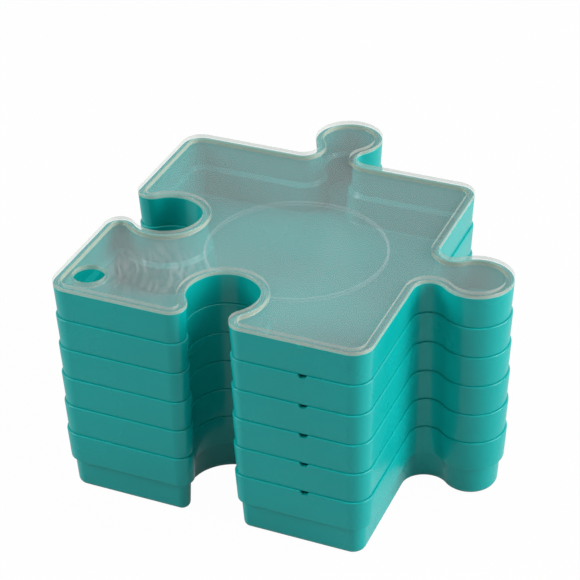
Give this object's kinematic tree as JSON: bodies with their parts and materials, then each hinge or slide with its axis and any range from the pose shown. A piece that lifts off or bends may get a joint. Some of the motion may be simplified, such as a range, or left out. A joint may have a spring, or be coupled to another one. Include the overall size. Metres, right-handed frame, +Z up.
{
  "type": "stacking jigsaw sorting tray set",
  "caption": "Nesting jigsaw-shaped sorting trays, stacked on each other's rims, with a clear lid that has a finger hole.",
  "frame": {"origin": "middle of the square body, on the surface that the stack rests on", "axes": "+X to the right knob, +Y to the back knob, +Z up the stack"},
  "size_m": [0.2036, 0.2036, 0.12],
  "materials": {
    "tray_plastic": "moulded, semi-gloss",
    "lid_plastic": "translucent, milky"
  },
  "bodies": {
    "tray_1": {"tray_1": "tray_plastic"},
    "tray_2": {"tray_2": "tray_plastic"},
    "tray_3": {"tray_3": "tray_plastic"},
    "tray_4": {"tray_4": "tray_plastic"},
    "tray_5": {"tray_5": "tray_plastic"},
    "tray_6": {"tray_6": "tray_plastic"},
    "lid": {"lid": "lid_plastic"}
  },
  "joints": [
    {"name": "tray_2_lift", "type": "slide", "parent": "tray_1", "child": "tray_2", "axis": [0, 0, 1], "range_m": [0, 0.04]},
    {"name": "tray_3_lift", "type": "slide", "parent": "tray_2", "child": "tray_3", "axis": [0, 0, 1], "range_m": [0, 0.04]},
    {"name": "tray_4_lift", "type": "slide", "parent": "tray_3", "child": "tray_4", "axis": [0, 0, 1], "range_m": [0, 0.04]},
    {"name": "tray_5_lift", "type": "slide", "parent": "tray_4", "child": "tray_5", "axis": [0, 0, 1], "range_m": [0, 0.04]},
    {"name": "tray_6_lift", "type": "slide", "parent": "tray_5", "child": "tray_6", "axis": [0, 0, 1], "range_m": [0, 0.04]},
    {"name": "lid_lift", "type": "slide", "parent": "tray_6", "child": "lid", "axis": [0, 0, 1], "range_m": [0, 0.03]}
  ]
}
